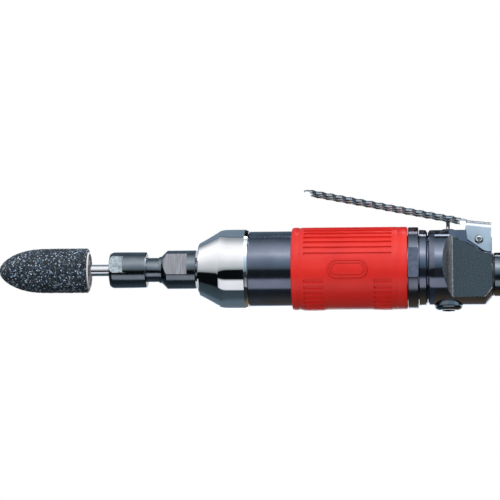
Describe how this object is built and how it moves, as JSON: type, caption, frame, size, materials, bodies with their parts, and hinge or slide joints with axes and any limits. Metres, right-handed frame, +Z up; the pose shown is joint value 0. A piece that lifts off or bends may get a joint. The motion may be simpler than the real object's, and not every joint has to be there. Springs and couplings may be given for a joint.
{
  "type": "straight lever-throttle air die grinder",
  "caption": "Straight pneumatic die grinder with a bullet mounted point, collet chuck, chromed nose cap, ribbed red grip, top throttle lever and offset air inlet.",
  "frame": {"origin": "on the spindle axis, midway along the grip sleeve", "axes": "+X along the spindle from the mounted point to the air inlet, +Z up towards the throttle lever, +Y to the far side"},
  "size_m": [0.2698, 0.043, 0.0626],
  "materials": {
    "abrasive": "gritty grey-black bonded abrasive",
    "bright_steel": "ground and polished",
    "gunmetal": "smooth dark oxide, satin",
    "chrome": "mirror plated",
    "plated_steel": "bright plated pressing",
    "blued_steel": "dark blue-black, glossy",
    "red_rubber": "moulded, satin",
    "black_paint": "black, glossy round and matt on the flats",
    "motor_steel": "machined",
    "vane": "fibre laminate",
    "felt": "pressed felt",
    "brass": "turned",
    "seal_rubber": "black nitrile"
  },
  "bodies": {
    "tool_body": {"nose_cap": "chrome", "dust_seal": "felt", "front_bearing_outer": "bright_steel", "front_end_plate": "motor_steel", "motor_cylinder": "motor_steel", "locating_pin": "bright_steel", "rear_end_plate": "motor_steel", "rear_bearing_outer": "bright_steel", "wave_washer": "bright_steel", "rear_spacer": "motor_steel", "silencer_felt": "felt", "motor_housing": "blued_steel", "grip_sleeve": "red_rubber", "grip_badge": "red_rubber", "lock_ring": "blued_steel", "exhaust_ring": "blued_steel", "valve_body": "black_paint", "valve_bush": "brass", "valve_spring": "bright_steel", "valve_plug": "gunmetal", "plug_oring": "seal_rubber", "stem_oring": "seal_rubber", "inlet_bushing": "gunmetal", "inlet_washer": "seal_rubber", "inlet_strainer": "brass", "lever_pin": "bright_steel"},
    "spindle_group": {"spindle": "gunmetal", "rotor": "motor_steel", "front_bearing_inner": "bright_steel", "rear_bearing_inner": "bright_steel"},
    "front_ball_set": {"front_bearing_balls": "bright_steel"},
    "rear_ball_set": {"rear_bearing_balls": "bright_steel"},
    "collet_group": {"collet": "bright_steel"},
    "nut_group": {"collet_nut": "gunmetal"},
    "mounted_point": {"grinding_stone": "abrasive", "stone_shank": "bright_steel"},
    "lever": {"throttle_lever": "plated_steel"},
    "valve": {"valve_stem": "bright_steel", "throttle_valve": "brass", "valve_seal": "seal_rubber"},
    "vane_1": {"rotor_vane_1": "vane"},
    "vane_2": {"rotor_vane_2": "vane"},
    "vane_3": {"rotor_vane_3": "vane"},
    "vane_4": {"rotor_vane_4": "vane"},
    "vane_5": {"rotor_vane_5": "vane"}
  },
  "joints": [
    {"name": "spindle_spin", "type": "hinge", "parent": "tool_body", "child": "spindle_group", "pos_m": [-0.0357, 0, 0], "axis": [1, 0, 0], "continuous": true},
    {"name": "front_ball_spin", "type": "hinge", "parent": "tool_body", "child": "front_ball_set", "pos_m": [-0.0694, 0, 0], "axis": [1, 0, 0], "continuous": true},
    {"name": "rear_ball_spin", "type": "hinge", "parent": "tool_body", "child": "rear_ball_set", "pos_m": [-0.0039, 0, 0], "axis": [1, 0, 0], "continuous": true},
    {"name": "vane_1_slide", "type": "slide", "parent": "spindle_group", "child": "vane_1", "axis": [0, 1, 0], "range_m": [0, 0.0003]},
    {"name": "vane_2_slide", "type": "slide", "parent": "spindle_group", "child": "vane_2", "axis": [0, 0.309, 0.9511], "range_m": [0, 0.0003]},
    {"name": "vane_3_slide", "type": "slide", "parent": "spindle_group", "child": "vane_3", "axis": [0, -0.809, 0.5878], "range_m": [0, 0.0003]},
    {"name": "vane_4_slide", "type": "slide", "parent": "spindle_group", "child": "vane_4", "axis": [0, -0.809, -0.5878], "range_m": [0, 0.0003]},
    {"name": "vane_5_slide", "type": "slide", "parent": "spindle_group", "child": "vane_5", "axis": [0, 0.309, -0.9511], "range_m": [0, 0.0003]},
    {"name": "collet_slide", "type": "slide", "parent": "spindle_group", "child": "collet_group", "axis": [-1, 0, 0], "range_m": [0, 0.0016]},
    {"name": "nut_turn", "type": "hinge", "parent": "collet_group", "child": "nut_group", "pos_m": [-0.1134, 0, 0], "axis": [-1, 0, 0], "range_deg": [0, 540]},
    {"name": "point_slide", "type": "slide", "parent": "collet_group", "child": "mounted_point", "axis": [-1, 0, 0], "range_m": [0, 0.031]},
    {"name": "lever_press", "type": "hinge", "parent": "tool_body", "child": "lever", "pos_m": [0.0664, 0, 0.0135], "axis": [0, -1, 0], "range_deg": [0, 9], "stiffness_Nm_per_rad": 0.5, "springref_deg": -17.19},
    {"name": "valve_slide", "type": "slide", "parent": "tool_body", "child": "valve", "axis": [0, 0, -1], "range_m": [0, 0.0029], "deforming": ["valve_spring"]}
  ],
  "couplings": [
    {"joint": "front_ball_spin", "follows": "spindle_spin", "ratio": 0.4013},
    {"joint": "rear_ball_spin", "follows": "spindle_spin", "ratio": 0.3618},
    {"joint": "collet_slide", "follows": "nut_turn", "m_per_rad": 0.00015915},
    {"joint": "valve_slide", "follows": "lever_press", "m_per_rad": 0.0181}
  ]
}
